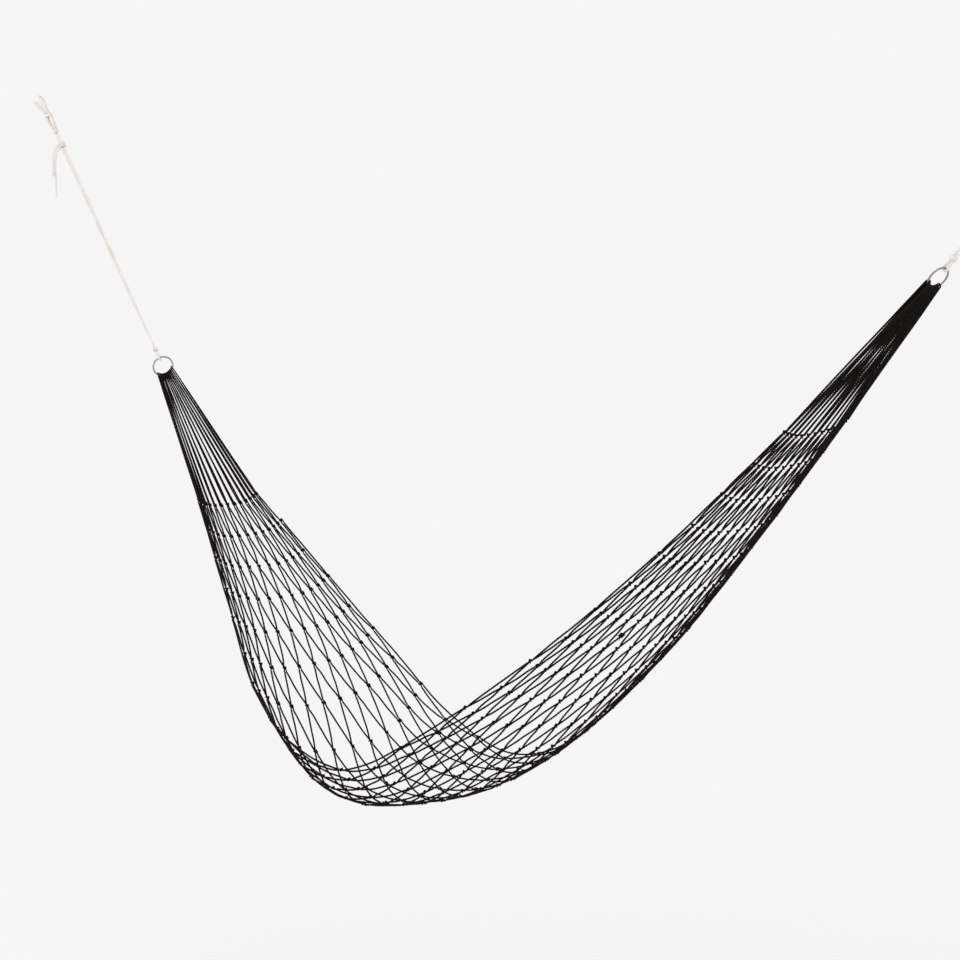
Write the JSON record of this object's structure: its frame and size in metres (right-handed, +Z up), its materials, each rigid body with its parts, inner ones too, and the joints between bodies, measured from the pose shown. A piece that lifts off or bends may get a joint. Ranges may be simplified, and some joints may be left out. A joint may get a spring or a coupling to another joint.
{
  "type": "net hammock",
  "caption": "Knotted net hammock with doubled clew cords gathered on steel rings, hung from two points by doubled ropes that end in hook loops.",
  "frame": {"origin": "where the left hook bears inside the taut left hanging loop", "axes": "+X runs along the hammock from the left hook towards the right one, +Y across it, +Z up"},
  "size_m": [2.7992, 0.6947, 1.8214],
  "materials": {
    "netting_cord": "black three-strand netting twine, slightly fuzzy",
    "ring_steel": "bright nickel-plated welded steel wire",
    "hanging_rope": "off-white laid cotton rope"
  },
  "bodies": {
    "hanging_loops": {"left_loop_knot": "hanging_rope", "right_loop_knot": "hanging_rope", "left_hanging_loops": "hanging_rope", "right_hanging_loops": "hanging_rope"},
    "hammock": {"net_course_01": "netting_cord", "net_course_02": "netting_cord", "net_course_03": "netting_cord", "net_course_04": "netting_cord", "net_course_05": "netting_cord", "net_course_06": "netting_cord", "net_course_07": "netting_cord", "net_course_08": "netting_cord", "net_course_09": "netting_cord", "net_course_10": "netting_cord", "net_course_11": "netting_cord", "net_course_12": "netting_cord", "net_course_13": "netting_cord", "net_course_14": "netting_cord", "net_course_15": "netting_cord", "net_course_16": "netting_cord", "net_course_17": "netting_cord", "net_course_18": "netting_cord", "net_course_19": "netting_cord", "net_course_20": "netting_cord", "net_course_21": "netting_cord", "net_course_22": "netting_cord", "net_course_23": "netting_cord", "net_course_24": "netting_cord", "left_clew_cords": "netting_cord", "right_clew_cords": "netting_cord", "right_clew_knots": "netting_cord", "left_hanging_rope": "hanging_rope", "right_hanging_rope": "hanging_rope", "left_ring_hitch": "hanging_rope", "right_ring_hitch": "hanging_rope", "left_rope_seizing": "hanging_rope", "left_rope_tails": "hanging_rope"},
    "left_ring": {"left_ring": "ring_steel"},
    "right_ring": {"right_ring": "ring_steel"}
  },
  "joints": [
    {"name": "swing", "type": "hinge", "parent": "hanging_loops", "child": "hammock", "pos_m": [0.0596, 0, -0.09835], "axis": [0.9864, 0, -0.1647], "range_deg": [-35, 35]},
    {"name": "left_ring_turn", "type": "hinge", "parent": "hammock", "child": "left_ring", "pos_m": [0.449, 0, -0.741], "axis": [0.4532, -0.848, 0.2746], "continuous": true},
    {"name": "right_ring_turn", "type": "hinge", "parent": "hammock", "child": "right_ring", "pos_m": [2.609, 0, -0.619], "axis": [0.7382, -0.2079, -0.6417], "continuous": true}
  ]
}
